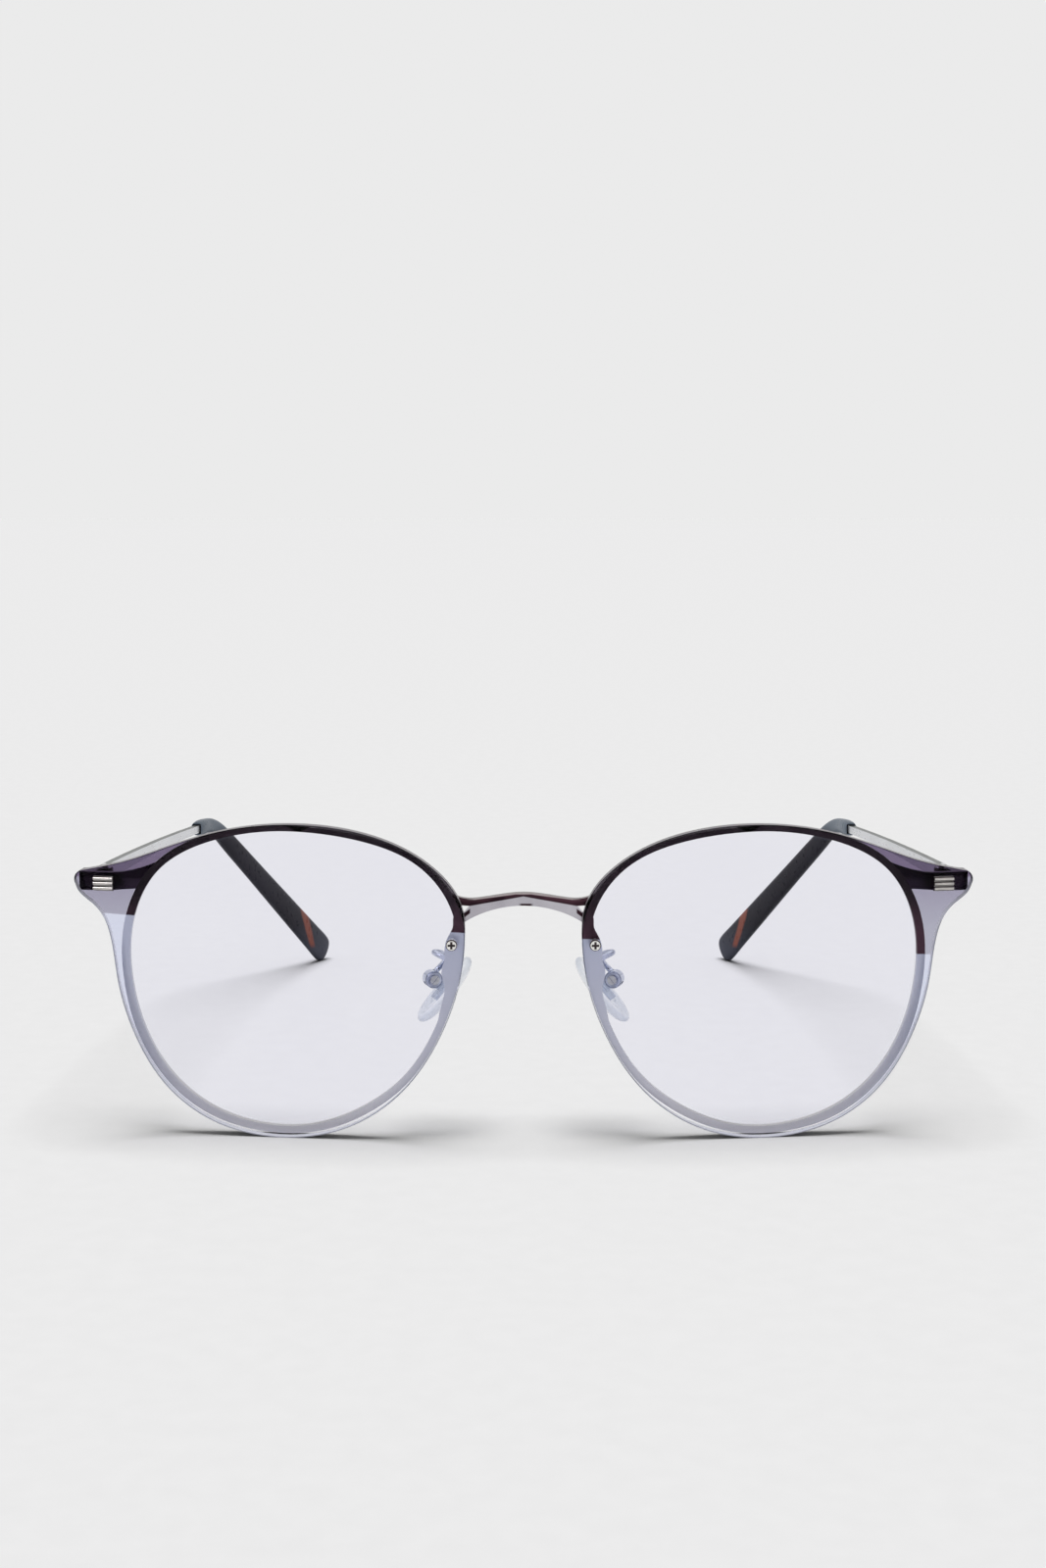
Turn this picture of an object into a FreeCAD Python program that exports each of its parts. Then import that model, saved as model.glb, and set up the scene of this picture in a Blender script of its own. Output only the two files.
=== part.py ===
import FreeCAD, Part
import math
import os

# Round wire eyeglasses. Millimetres; +X to the wearer's left, +Y back along the
# temples, +Z up. Every left piece is built at +X and mirrored for the right.

V = FreeCAD.Vector
os.makedirs("parts", exist_ok=True)

# Driving dimensions
FRONT_RADIUS = 350.0       # one sphere carries the face of both lenses
FRONT_MIDDLE_Z = 25.0
LENS_THICK = 1.8
LENS_GAP = 0.03            # between lens back and rim
RIM_THICK = 1.0
RIM_FRONT = LENS_THICK + LENS_GAP
RIM_BACK = RIM_FRONT + RIM_THICK
ORIGIN_Y = 71.35           # the origin lies this far behind the front's apex

# Lens outline (x from the midline, z), from the endpiece corner down and round
LENS_OUTLINE = [
    (70.75, 39.9), (70.0, 38.5), (67.9, 36.8), (66.25, 34.8), (65.2, 31.9),
    (64.1, 24.6), (61.4, 15.7), (56.8, 8.1), (49.9, 2.7), (39.0, 0.03),
    (28.5, 1.6), (19.3, 7.6), (12.9, 17.0), (9.7, 26.5), (9.1, 32.0),
    (9.5, 37.2), (14.9, 44.1), (23.5, 48.3), (36.3, 50.0), (48.2, 48.55),
    (57.5, 45.5), (63.0, 43.6), (66.8, 42.7), (69.7, 42.1)]
LENS_CORNER = (70.7, 41.5)

# Rim outlines, from the top round by the outer side
RIM_OUTER = [
    (36.7, 49.6), (50.1, 47.8), (58.8, 42.6), (63.2, 33.8), (63.4, 24.2),
    (61.2, 15.5), (56.6, 8.1), (49.9, 2.9), (41.7, 0.5), (33.1, 0.6),
    (24.9, 3.7), (18.05, 9.1), (13.2, 16.6), (10.0, 25.6), (9.55, 35.5),
    (15.1, 43.6), (23.7, 47.8)]
RIM_INNER = [
    (36.7, 48.7), (49.5, 46.8), (57.8, 41.9), (61.9, 33.4), (62.05, 24.3),
    (59.8, 16.0), (55.5, 9.1), (49.1, 4.1), (41.4, 1.7), (33.3, 1.8),
    (25.6, 4.7), (18.95, 9.8), (14.25, 17.0), (11.3, 25.6), (10.75, 35.0),
    (15.8, 43.0), (24.2, 47.0)]
NOSE_ZONE = [
    (10.4, 36.5), (10.95, 35.3), (11.0, 34.0), (11.75, 32.4), (12.3, 30.6),
    (12.35, 28.6), (12.8, 26.9), (12.35, 24.6), (12.75, 21.8), (13.4, 18.9)]

BRIDGE_FRONT = 2.25

# Endpiece
LUG_TOP = 41.6
LUG_BOTTOM = 38.65
LUG_INSIDE_X = 68.4
LUG_OUTSIDE_X = 70.5
LUG_END_Y = 13.1
CLIP_X = 66.05
CLIP_Z = 40.15
CLIP_WIDTH = 3.2
CLIP_HEIGHT = 2.3
CLIP_THICK = 0.7
PIN_RADIUS = 0.4
PIN_SPACING = 1.8

# Lens screw in the nose zone
SCREW_X = 11.15
SCREW_Z = 31.5
SCREW_RADIUS = 0.5
SCREW_HEAD_RADIUS = 0.88
SLEEVE_RADIUS = 0.75

# Hinge
HINGE_X = 67.0
HINGE_Y = 13.2
KNUCKLE_RADIUS = 1.15
HINGE_BORE = 0.61
PIVOT_BORE = 0.65
HINGE_SCREW_RADIUS = 0.6
KNUCKLE_GAP = 0.06
MIDDLE_KNUCKLE = (39.6, 40.65)
LEAF_THICK = 0.45

# Temple path
TEMPLE_START = V(69.0, 13.4, 39.6)
BOW_RADIUS = 670.0                    # gentle inward bow of the strip
STRIP_RUN = 85.4                      # length of the bowed stretch
STRIP_SLOPE = 0.042                   # fall per length
TIP_CORNER = 1.8                       # rounding of the paddle's end
TIP_START = 79.0                      # distance along the path
BEND_RADIUS = 13.0
DROP_ANGLE = 38.5
INWARD_ANGLE = 26.0
DROP_LENGTH = 50.22
STRIP_THICK = 1.2

# Nose pad
PAD_CENTRE = V(12.5, 9.2, 22.6)
PAD_AXIS = V(0.62, -0.22, -0.753)
PAD_FACING = V(-0.96, 0.28, 0.0)
PAD_LENGTH = 13.0
PAD_WIDTH = 7.0
PAD_THICK = 2.2
PAD_PIVOT_BACK = 2.7                  # pad centre to rocking axis
PAD_BOX_RADIUS = 1.4
PAD_BOX_WIDTH = 2.6
PAD_ARM_RADIUS = 0.45

FRONT_CENTRE = V(0, FRONT_RADIUS, FRONT_MIDDLE_Z)


def spline(points, closed=False):
    """Smooth curve through x, z points in the plane y = -20."""
    curve = Part.BSplineCurve()
    curve.interpolate(Points=[V(x, -20, z) for x, z in points], PeriodicFlag=closed)
    return curve.toShape()


def prism(edges, depth=60.0):
    """Solid swept back from a closed front view outline."""
    solid = Part.Face(Part.Wire(edges)).extrude(V(0, depth, 0))
    if solid.Volume < 0:
        solid.reverse()
    return solid


def polygon_prism(points, front, back):
    """Straight-sided solid between two depths."""
    corners = [V(x, front, z) for x, z in points]
    face = Part.Face(Part.makePolygon(corners + corners[:1]))
    return face.extrude(V(0, back - front, 0))


def layer(solid, front, back):
    """Keep what lies between two depths behind the curved front face."""
    outer = Part.makeSphere(FRONT_RADIUS - front, FRONT_CENTRE)
    inner = Part.makeSphere(FRONT_RADIUS - back, FRONT_CENTRE)
    return solid.common(outer).cut(inner)


def front_y(x, z):
    """Depth of the curved front face at x, z."""
    rise = FRONT_RADIUS ** 2 - x ** 2 - (z - FRONT_MIDDLE_Z) ** 2
    return FRONT_RADIUS - math.sqrt(rise)


def on_front(solid, x, z):
    """Move a solid drawn at the origin, facing -Y, square onto the front face."""
    foot = V(x, front_y(x, z), z)
    turn = FreeCAD.Rotation(V(0, 1, 0), FRONT_CENTRE - foot)
    moved = solid.copy()
    moved.Placement = FreeCAD.Placement(foot, turn)
    return moved


def block(centre, axes, sizes):
    """Box about a centre with its sides along three unit axes."""
    u, v, w = axes
    matrix = FreeCAD.Matrix(
        u.x, v.x, w.x, centre.x,
        u.y, v.y, w.y, centre.y,
        u.z, v.z, w.z, centre.z,
        0, 0, 0, 1)
    corner = V(-sizes[0] / 2, -sizes[1] / 2, -sizes[2] / 2)
    box = Part.makeBox(sizes[0], sizes[1], sizes[2], corner)
    return box.transformGeometry(matrix)


def box_between(low, high):
    return Part.makeBox(high[0] - low[0], high[1] - low[1], high[2] - low[2], V(*low))


def rod(start, end, radius):
    return Part.makeCylinder(radius, (end - start).Length, start, end - start)


def one_solid(shape):
    """The single solid of a boolean result, with its split faces joined."""
    return shape.removeSplitter().Solids[0]


# Front

def make_lens():
    rim = spline(LENS_OUTLINE)
    ends = [V(x, -20, z) for x, z in (LENS_OUTLINE[-1], LENS_CORNER, LENS_OUTLINE[0])]
    blank = layer(prism([rim, Part.Arc(*ends).toShape()]), 0, LENS_THICK)
    hole = on_front(Part.makeCylinder(SLEEVE_RADIUS, 8, V(0, -4, 0), V(0, 1, 0)), SCREW_X, SCREW_Z)
    return blank.cut([hole] + clip_pins(PIN_RADIUS + 0.05))


def make_rim():
    outside = prism([spline(RIM_OUTER, True)])
    ring = outside.cut(prism([spline(RIM_INNER, True)]))
    start = V(NOSE_ZONE[0][0], -20, NOSE_ZONE[0][1])
    end = V(NOSE_ZONE[-1][0], -20, NOSE_ZONE[-1][1])
    far = V(5, -20, 27)
    sides = [Part.makeLine(end, far), Part.makeLine(far, start)]
    zone = prism([spline(NOSE_ZONE)] + sides).common(outside)
    sheet = layer(ring.fuse(zone), RIM_FRONT, RIM_BACK)
    bore = Part.makeCylinder(SCREW_RADIUS, 8, V(0, -2, 0), V(0, 1, 0))
    return sheet.cut(on_front(bore, SCREW_X, SCREW_Z))


def make_lug():
    """Plate behind the lens, rising along the rim, with a leg bent back."""
    top = spline([(56.0, 44.3), (59.0, 42.95), (61.6, 42.1), (65.0, LUG_TOP)])
    rest = [
        (65.0, LUG_TOP), (LUG_OUTSIDE_X, LUG_TOP), (LUG_OUTSIDE_X, LUG_BOTTOM),
        (64.9, 38.8), (58.0, 39.4), (56.0, 44.3)]
    lines = [
        Part.makeLine(V(a[0], -20, a[1]), V(b[0], -20, b[1]))
        for a, b in zip(rest, rest[1:])]
    plate = layer(prism([top] + lines), RIM_FRONT, RIM_BACK)
    plate = plate.cut(prism([spline(RIM_OUTER, True)]))
    leg = box_between((LUG_INSIDE_X, 6, LUG_BOTTOM), (LUG_OUTSIDE_X, LUG_END_Y, LUG_TOP))
    leg = leg.common(Part.makeSphere(FRONT_RADIUS - RIM_FRONT, FRONT_CENTRE))
    return plate.fuse(leg).cut(clip_pins(PIN_RADIUS))


def clip_pins(radius):
    """The two pins that hold the clip plate through lens and lug."""
    return [
        on_front(Part.makeCylinder(radius, RIM_BACK, V(x, 0, 0), V(0, 1, 0)), CLIP_X, CLIP_Z)
        for x in (-PIN_SPACING / 2, PIN_SPACING / 2)]


def make_clip():
    """Three half-round ribs on a thin plate that lies on the lens, and its pins."""
    half = CLIP_WIDTH / 2
    pitch = CLIP_HEIGHT / 3
    plate = box_between((-half, -CLIP_THICK / 2, -CLIP_HEIGHT / 2), (half, 0, CLIP_HEIGHT / 2))
    ribs = []
    for i in (-1, 0, 1):
        rib = Part.makeCylinder(
            0.46 * pitch, CLIP_WIDTH, V(-half, -CLIP_THICK / 2, i * pitch), V(1, 0, 0))
        ribs.append(rib)
    plate = plate.fuse([rib.common(box_between((-5, -5, -5), (5, 0, 5))) for rib in ribs])
    return on_front(plate, CLIP_X, CLIP_Z).fuse(clip_pins(PIN_RADIUS))


def make_lens_screw():
    """Pan head with a cross recess on a plain shank."""
    head = Part.makeCylinder(SCREW_HEAD_RADIUS, 0.5, V(0, -0.5, 0), V(0, 1, 0))
    head = head.makeFillet(0.2, [e for e in head.Edges if e.BoundBox.YMax < -0.4])
    for size in ((0.36, 1.16), (1.16, 0.36)):
        head = head.cut(box_between(
            (-size[0] / 2, -0.6, -size[1] / 2), (size[0] / 2, -0.2, size[1] / 2)))
    shank = Part.makeCylinder(SCREW_RADIUS, 3.75, V(0, 0, 0), V(0, 1, 0))
    return on_front(head.fuse(shank), SCREW_X, SCREW_Z)


def make_lens_sleeve():
    tube = Part.makeCylinder(SLEEVE_RADIUS, LENS_THICK, V(0, 0, 0), V(0, 1, 0))
    tube = tube.cut(Part.makeCylinder(SCREW_RADIUS, LENS_THICK, V(0, 0, 0), V(0, 1, 0)))
    return on_front(tube, SCREW_X, SCREW_Z)


def make_lens_nut():
    corners = [
        V(0.95 * math.cos(math.radians(60 * i)), RIM_BACK + 0.01, 0.95 * math.sin(math.radians(60 * i)))
        for i in range(6)]
    nut = Part.Face(Part.makePolygon(corners + corners[:1])).extrude(V(0, 0.8, 0))
    nut = nut.cut(Part.makeCylinder(SCREW_RADIUS, 5, V(0, 0, 0), V(0, 1, 0)))
    return on_front(nut, SCREW_X, SCREW_Z)


def make_bridge():
    """Arched bar that forks where it meets each rim, with a small gap in the fork."""
    half_top = [(0, 39.3), (2.6, 39.1), (5.8, 38.6), (8.2, 38.35), (11.4, 39.3)]
    half_low = [(10.6, 33.6), (9.0, 34.85), (6.9, 35.95), (3.5, 37.0), (0, 37.35)]
    top = [(-x, z) for x, z in reversed(half_top[1:])] + half_top
    low = half_low + [(-x, z) for x, z in reversed(half_low[:-1])]
    sides = [
        Part.makeLine(V(11.4, -20, 39.3), V(10.6, -20, 33.6)),
        Part.makeLine(V(-10.6, -20, 33.6), V(-11.4, -20, 39.3))]
    bar = prism([spline(top), sides[0], spline(low), sides[1]])
    bar = bar.common(box_between((-13, BRIDGE_FRONT, 30), (13, BRIDGE_FRONT + 1.6, 42)))
    bevel = [
        e for e in bar.Edges
        if e.BoundBox.YMax < BRIDGE_FRONT + 0.01 and e.BoundBox.ZMin > 37 and e.Length > 15]
    bar = bar.makeChamfer(0.45, bevel)
    rim_hole = prism([spline(RIM_OUTER, True)])
    bar = bar.cut([rim_hole, mirrored(rim_hole)])
    gap = [(9.75, 37.4), (8.35, 37.3), (9.35, 36.1)]
    for side in (-1, 1):
        bar = bar.cut(polygon_prism([(side * x, z) for x, z in gap], 0, 6))
    return bar


# Nose pads

def pad_axes():
    """Along the pad, across it, and out of its face towards the nose."""
    along = V(PAD_AXIS).normalize()
    out = PAD_FACING - along * PAD_FACING.dot(along)
    out.normalize()
    return along, out.cross(along), out


def pad_point(a, b, m):
    along, across, out = pad_axes()
    return PAD_CENTRE + along * a + across * b + out * m


def make_pad():
    half_length = PAD_LENGTH / 2
    half_width = PAD_WIDTH / 2
    shape = [(-1, 0), (-0.74, 0.66), (0, 1), (0.68, 0.86), (1, 0)]
    shape += [(a, -b) for a, b in reversed(shape[1:-1])]
    curve = Part.BSplineCurve()
    curve.interpolate(
        Points=[pad_point(a * half_length, b * half_width, -PAD_THICK / 2) for a, b in shape],
        PeriodicFlag=True)
    out = pad_axes()[2]
    pad = Part.Face(Part.Wire(curve.toShape())).extrude(out * PAD_THICK)
    pad = pad.makeFillet(0.8, [e for e in pad.Edges if e.Length > 20])
    return pad.cut(make_stem())


def make_stem():
    """Flange inside the pad, neck, and rounded eye on the rocking axis."""
    flange = block(pad_point(0, 0, -0.45), pad_axes(), (4.6, 2.6, 0.5))
    neck = block(pad_point(0, 0, -1.55), pad_axes(), (1.6, 0.9, 2.3))
    eye = rod(pad_point(0, -0.45, -PAD_PIVOT_BACK), pad_point(0, 0.45, -PAD_PIVOT_BACK), 0.66)
    hole = rod(pad_point(0, -2, -PAD_PIVOT_BACK), pad_point(0, 2, -PAD_PIVOT_BACK), 0.34)
    return flange.fuse([neck, eye]).cut(hole)


def make_pad_box():
    """Round box about the rocking axis, slotted on the pad's side for the stem."""
    axis = PAD_PIVOT_BACK
    half = PAD_BOX_WIDTH / 2
    body = rod(pad_point(0, -half, -axis), pad_point(0, half, -axis), PAD_BOX_RADIUS)
    body = body.makeFillet(0.3, body.Edges)
    slot = block(pad_point(0, 0, -axis + 0.45), pad_axes(), (3.6, 1.15, 2.5))
    pivot = rod(pad_point(0, -2, -axis), pad_point(0, 2, -axis), 0.3)
    return body.cut([slot, pivot])


def make_pad_screw():
    axis = PAD_PIVOT_BACK
    end = PAD_BOX_WIDTH / 2
    shank = rod(pad_point(0, -end, -axis), pad_point(0, end, -axis), 0.3)
    head = rod(pad_point(0, end, -axis), pad_point(0, end + 0.35, -axis), 0.75)
    slit = block(pad_point(0, end + 0.3, -axis), pad_axes(), (1.6, 0.3, 0.26))
    return shank.fuse(head).cut(slit)


def make_pad_arm():
    """Wire that leaves the rim's back, turns once and enters the pad box from behind."""
    foot = pad_point(-0.7, -0.95, -PAD_PIVOT_BACK - 0.2)
    before = pad_point(-1.7, -1.5, -PAD_PIVOT_BACK + 0.1)
    start = V(11.6, RIM_BACK - 0.05, 28.4)
    points = [
        start, V(13.1, 3.6, 29.2), V(14.0, 4.6, 29.5), V(13.2, 5.8, 29.2),
        V(12.3, 8.0, 28.0), before, foot]
    curve = Part.BSplineCurve()
    curve.interpolate(Points=points)
    path = curve.toShape()
    first = path.firstVertex().Point
    tangent = curve.tangent(curve.FirstParameter)[0]
    ring = Part.Wire(Part.makeCircle(PAD_ARM_RADIUS, first, tangent))
    wire = Part.Wire(path).makePipeShell([ring], True, True)
    solid = Part.Solid(wire) if wire.ShapeType != "Solid" else wire
    return solid.cut([make_rim_blank(), make_pad_box()])


def make_rim_blank():
    """Everything in front of the rim's back face."""
    slab = box_between((5, -5, 15), (30, 20, 45))
    return slab.cut(Part.makeSphere(FRONT_RADIUS - RIM_BACK, FRONT_CENTRE))


# Hinge

def knuckle(low, high, bore, web_y):
    """Barrel on the hinge axis with a web towards its leaf."""
    barrel = Part.makeCylinder(KNUCKLE_RADIUS, high - low, V(HINGE_X, HINGE_Y, low))
    web = box_between((HINGE_X, min(HINGE_Y, web_y), low), (LUG_INSIDE_X, max(HINGE_Y, web_y), high))
    hole = Part.makeCylinder(bore, high - low, V(HINGE_X, HINGE_Y, low))
    return barrel.fuse(web).cut(hole)


def make_hinge_front():
    low, high = MIDDLE_KNUCKLE
    leaf = box_between(
        (LUG_INSIDE_X - LEAF_THICK, 10.1, LUG_BOTTOM), (LUG_INSIDE_X, LUG_END_Y, LUG_TOP))
    room = Part.makeCylinder(KNUCKLE_RADIUS + 0.15, high - low + 2 * KNUCKLE_GAP,
                             V(HINGE_X, HINGE_Y, low - KNUCKLE_GAP))
    ends = [(LUG_BOTTOM, low - KNUCKLE_GAP), (high + KNUCKLE_GAP, LUG_TOP)]
    knuckles = [knuckle(a, b, HINGE_BORE, HINGE_Y - KNUCKLE_RADIUS) for a, b in ends]
    bore = Part.makeCylinder(HINGE_BORE, 6, V(HINGE_X, HINGE_Y, 37))
    return leaf.cut(room).fuse(knuckles).cut(bore)


def make_hinge_rear():
    low, high = MIDDLE_KNUCKLE
    leaf = box_between(
        (LUG_INSIDE_X - LEAF_THICK, HINGE_Y + 0.95, LUG_BOTTOM + 0.1),
        (LUG_INSIDE_X, HINGE_Y + 5.2, LUG_TOP - 0.1))
    return leaf.fuse(knuckle(low, high, PIVOT_BORE, HINGE_Y + KNUCKLE_RADIUS))


def make_hinge_screw():
    shank = Part.makeCylinder(HINGE_SCREW_RADIUS, LUG_TOP - LUG_BOTTOM, V(HINGE_X, HINGE_Y, LUG_BOTTOM))
    head = Part.makeCylinder(0.95, 0.4, V(HINGE_X, HINGE_Y, LUG_TOP))
    slit = box_between(
        (HINGE_X - 1, HINGE_Y - 0.14, LUG_TOP + 0.18), (HINGE_X + 1, HINGE_Y + 0.14, LUG_TOP + 1))
    return shank.fuse(head).cut(slit)


# Temple

def drop_direction():
    down = math.radians(DROP_ANGLE)
    turn = math.radians(INWARD_ANGLE)
    level = math.cos(down)
    return V(-level * math.sin(turn), level * math.cos(turn), -math.sin(down))


def bow_point(s):
    """Position and direction on the bowed stretch."""
    turn = s / BOW_RADIUS
    level = V(-(1 - math.cos(turn)), math.sin(turn), 0) * BOW_RADIUS
    ahead = V(-math.sin(turn), math.cos(turn), -STRIP_SLOPE).normalize()
    return TEMPLE_START + level + V(0, 0, -STRIP_SLOPE * s), ahead


def temple_point(s):
    """Position and direction at a distance s along bow, bend and drop."""
    if s <= STRIP_RUN:
        return bow_point(s)
    corner, ahead = bow_point(STRIP_RUN)
    drop = drop_direction()
    sweep = ahead.getAngle(drop)
    side = (drop - ahead * drop.dot(ahead)).normalize()
    angle = min((s - STRIP_RUN) / BEND_RADIUS, sweep)
    turned = ahead * math.cos(angle) + side * math.sin(angle)
    point = corner + ahead * (BEND_RADIUS * math.sin(angle))
    point = point + side * (BEND_RADIUS * (1 - math.cos(angle)))
    rest = max(0.0, s - STRIP_RUN - BEND_RADIUS * sweep)
    return point + turned * rest, turned


def temple_length():
    sweep = bow_point(STRIP_RUN)[1].getAngle(drop_direction())
    return STRIP_RUN + BEND_RADIUS * sweep + DROP_LENGTH


def section(s, thick, height, shift, square):
    """Closed section at s: a superellipse, or a plain rectangle when square."""
    centre, ahead = temple_point(s)
    flat = ahead.cross(V(0, 0, 1)).normalize()
    up = flat.cross(ahead)
    centre = centre + up * shift
    if square:
        corners = [
            centre + flat * (thick / 2 * i) + up * (height / 2 * j)
            for i, j in ((-1, -1), (1, -1), (1, 1), (-1, 1))]
        return Part.makePolygon(corners + corners[:1])
    points = []
    for i in range(12):
        angle = math.radians(30 * i)
        c, d = math.cos(angle), math.sin(angle)
        points.append(
            centre + flat * (thick / 2 * math.copysign(abs(c) ** 0.8, c))
            + up * (height / 2 * math.copysign(abs(d) ** 0.8, d)))
    curve = Part.BSplineCurve()
    curve.interpolate(Points=points, PeriodicFlag=True)
    return Part.Wire(curve.toShape())


def blend(value, stops):
    """Straight-line value between (distance, value) stops."""
    for (s0, v0), (s1, v1) in zip(stops, stops[1:]):
        if value <= s1:
            return v0 + (v1 - v0) * max(0.0, (value - s0) / (s1 - s0))
    return stops[-1][1]


def make_temple():
    """Tapering strip whose thin end runs on as the core of the tip."""
    end = temple_length() - 9.0
    heights = [(0, 3.0), (30, 2.2), (TIP_START, 1.4), (end, 1.2)]
    stops = [0, 12, 24, 36, 50, 64, TIP_START]
    bend = STRIP_RUN
    stops += [bend + 2.5 * i for i in range(5)] + [bend + 20, end]
    wires = [
        section(s, blend(s, [(0, STRIP_THICK), (TIP_START, STRIP_THICK), (end, 0.9)]),
                blend(s, heights), 0.0, True)
        for s in stops]
    return Part.makeLoft(wires, True, True)


def make_tip():
    """Plastic tip: slim at the metal, a wide paddle at its rounded end."""
    end = temple_length()
    bend = STRIP_RUN
    widths = [(TIP_START, 2.8), (bend + 2, 2.9), (bend + 12, 3.9), (end - 20, 5.0), (end - 5, 5.9), (end, 5.9)]
    thicks = [(TIP_START, 2.5), (bend + 12, 2.1), (end - 12, 2.3), (end, 2.2)]
    stops = [TIP_START, TIP_START + 1.0] + [bend + 2.6 * i for i in range(5)]
    stops += [bend + 18, bend + 28, end - 12, end - 5, end - TIP_CORNER]
    stops += [end - part * TIP_CORNER for part in (0.6, 0.3, 0.1, 0)]
    wires = []
    for s in stops:
        over = max(0.0, (s - (end - TIP_CORNER)) / TIP_CORNER)
        inset = TIP_CORNER * (1 - math.sqrt(1 - 0.98 * over ** 2))
        height = blend(s, widths) - 2 * inset
        thick = blend(s, thicks) - 0.6 * inset
        if s == TIP_START:
            height -= 0.3
            thick -= 0.3
        wires.append(section(s, thick, height, 0.0, False))
    return Part.makeLoft(wires, True, False)


def make_mouth():
    """Room around the strip where it enters the tip."""
    wires = [
        section(TIP_START + s, STRIP_THICK + 0.5, 1.4 + 0.5, 0.0, True) for s in (-1.0, 1.6)]
    return Part.makeLoft(wires, True, True)


def mirrored(shape):
    return shape.mirror(V(0, 0, 0), V(1, 0, 0))


def export(name, shape):
    solid = one_solid(shape)
    solid.translate(V(0, -ORIGIN_Y, 0))
    solid.exportStep("parts/%s.step" % name)


temple = one_solid(make_temple())
PIECES = {
    "lens": make_lens(),
    "rim": make_rim(),
    "lug": make_lug(),
    "clip": make_clip(),
    "lens_screw": make_lens_screw(),
    "lens_sleeve": make_lens_sleeve(),
    "lens_nut": make_lens_nut(),
    "pad_arm": make_pad_arm(),
    "pad_box": make_pad_box(),
    "pad_screw": make_pad_screw(),
    "nose_pad": make_pad(),
    "pad_stem": make_stem(),
    "hinge_front": make_hinge_front(),
    "hinge_rear": make_hinge_rear().cut(temple),
    "hinge_screw": make_hinge_screw(),
    "temple": temple,
    "temple_tip": make_tip().cut([temple, make_mouth()]),
}

for name, shape in PIECES.items():
    export("left_" + name, shape)
    export("right_" + name, mirrored(shape))
export("bridge", make_bridge())
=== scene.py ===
import math

import bpy
import bmesh
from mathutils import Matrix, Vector


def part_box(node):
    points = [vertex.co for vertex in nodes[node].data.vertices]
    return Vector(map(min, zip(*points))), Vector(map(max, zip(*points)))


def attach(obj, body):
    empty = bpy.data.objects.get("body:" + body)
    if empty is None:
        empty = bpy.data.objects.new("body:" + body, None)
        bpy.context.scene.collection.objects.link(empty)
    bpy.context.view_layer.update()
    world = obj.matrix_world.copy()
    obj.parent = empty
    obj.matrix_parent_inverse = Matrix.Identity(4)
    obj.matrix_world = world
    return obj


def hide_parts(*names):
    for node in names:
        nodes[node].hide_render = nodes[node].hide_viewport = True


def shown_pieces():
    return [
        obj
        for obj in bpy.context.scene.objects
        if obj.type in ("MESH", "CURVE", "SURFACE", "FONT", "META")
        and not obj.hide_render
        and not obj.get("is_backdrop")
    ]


# Round wire eyeglasses. Metres, in the CAD frame: +X to the wearer's left,
# +Y back along the temples, +Z up, standing on z = 0.

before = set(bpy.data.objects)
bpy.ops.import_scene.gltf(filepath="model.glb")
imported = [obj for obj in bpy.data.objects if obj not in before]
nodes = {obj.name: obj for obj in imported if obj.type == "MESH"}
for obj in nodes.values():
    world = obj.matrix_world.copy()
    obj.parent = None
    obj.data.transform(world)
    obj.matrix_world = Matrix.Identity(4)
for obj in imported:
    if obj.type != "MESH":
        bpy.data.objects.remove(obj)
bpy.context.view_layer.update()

MM = 0.001
FRONT_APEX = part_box("left_lens")[0].y          # lens's foremost point, 0.12 mm behind the apex
FRONT_RADIUS = 350 * MM
FRONT_CENTRE = Vector((0, FRONT_APEX + FRONT_RADIUS, 25 * MM))

# Heights over that sphere by which the faces of a piece are told apart
LENS_MIDDLE = -0.9 * MM
SCREW_FACE = 0.46 * MM
PINS_BELOW = -0.02 * MM

FLOOR_LIGHT = 11.7                             # makes the floor as bright as the room
FLOOR_LIGHT_SPREAD = 38                        # degrees across
KEY_LIGHT = 1.1
KEY_SIZE = 0.22
KEY_PLACE = (-0.36, FRONT_APEX - 0.40, 0.52)
KEY_TOWARDS = (0.45, 0.5, -0.62)
ROOM_STOPS = [(0.0, 0.83), (0.26, 0.83), (0.45, 0.62), (0.70, 0.70), (0.86, 1.25)]
FLOOR_REACH = 30.0
FLOOR_CELLS = 6

CAMERA_SIDE = 0.00027
CAMERA_DISTANCE = 0.332                        # in front of the lenses
CAMERA_HEIGHT = 0.09818
CAMERA_PITCH = 0.124257
CAMERA_YAW = 0.000995

# Where the painted reflection changes from dark to pale: a line that falls gently in x
SPLIT_HEIGHT = 31.75 * MM
SPLIT_FALL = 0.05
SPLIT_NOSE_LIFT = 0.85 * MM

LENS_CENTRE = (36.5 * MM, 25 * MM)             # x and z that outlines are measured from
REACH = 50 * MM                                # longer than any outline radius

# One red-brown streak in each tip, as a line in the x-z plane
STREAK_X = 46 * MM
STREAK_Z = 3.8 * MM
STREAK_TOP = 14 * MM
STREAK_RUN = 0.185

# Half widths between which the lens turns into its wing
WING_FROM = 52 * MM
WING_TO = 54 * MM

# Bridge plating with painted reflection and shade: heights in z, and half widths either side of
# the middle
BAND_HEIGHT = 38.80 * MM
BAND_FALL = 0.18
CREST_HEIGHT = 39.09 * MM
CREST_DROP = 0.87 * MM
CREST_RUN = (1.2 * MM, 7.6 * MM)
CREST_FADE = (9 * MM, 7.5 * MM)
FORK_FROM = 8.2 * MM
FORK_HEIGHT = 36.6 * MM
FORK_FALL = 0.75
MARK_CENTRE = 0.4 * MM
MARK_SIDES = (1.2 * MM, 0.7 * MM)
MARK_TOP = (37.75 * MM, 37.6 * MM)

# The clip's pin holes through the lens lie within these
HOLES_X = (62 * MM, 69.5 * MM)
HOLES_Z = (39.2 * MM, 41.2 * MM)

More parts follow.
